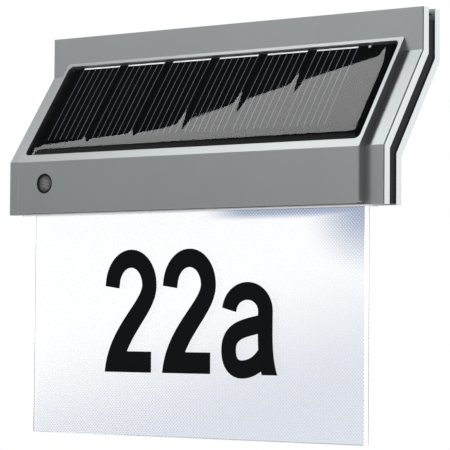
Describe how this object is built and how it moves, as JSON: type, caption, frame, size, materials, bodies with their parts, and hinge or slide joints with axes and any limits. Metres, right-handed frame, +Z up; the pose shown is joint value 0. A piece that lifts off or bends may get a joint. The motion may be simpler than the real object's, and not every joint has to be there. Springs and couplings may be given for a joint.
{
  "type": "solar house number light",
  "caption": "Wall light with a folded silver housing, a sloping solar panel, a dusk sensor and an edge-lit clear plate that carries the house number.",
  "frame": {"origin": "midway between the two keyhole entries, on the wall plane", "axes": "+X to the right seen from the front, +Y towards the wall, +Z up"},
  "size_m": [0.2, 0.0472, 0.1798],
  "materials": {
    "silver_shell": "satin silver lacquer",
    "black_plastic": "satin black",
    "pale_plastic": "satin pale grey",
    "clear_acrylic": "polished clear",
    "clear_resin": "glossy clear",
    "solar_silicon": "dark cell",
    "tinned_strip": "tinned",
    "module_board": "black laminate",
    "circuit_board": "solder resist",
    "lamp_body": "moulded",
    "sensor_face": "ceramic disc",
    "component_body": "moulded",
    "battery_sleeve": "shrink sleeve",
    "plated_steel": "nickel plated"
  },
  "bodies": {
    "housing": {"front_cover": "silver_shell", "rear_cover": "silver_shell", "battery_door": "silver_shell", "spacer_frame": "black_plastic", "sensor_bezel": "black_plastic", "switch_body": "plated_steel", "plate_holder": "pale_plastic", "number_plate": "clear_acrylic", "sensor_window": "clear_acrylic", "solar_resin": "clear_resin", "solar_cells": "solar_silicon", "cell_busbars": "tinned_strip", "solar_board": "module_board", "control_board": "circuit_board", "led_board": "circuit_board", "leds": "lamp_body", "light_sensor": "sensor_face", "board_components": "component_body", "battery_cell_1": "battery_sleeve", "battery_cell_2": "battery_sleeve", "contact_plate": "plated_steel", "contact_leaf": "plated_steel", "plate_screws": "plated_steel", "case_screws": "plated_steel", "door_screws": "plated_steel"},
    "slider": {"switch_slider": "black_plastic"}
  },
  "joints": [
    {"name": "switch_slide", "type": "slide", "parent": "housing", "child": "slider", "axis": [1, 0, 0], "range_m": [0, 0.003]}
  ]
}
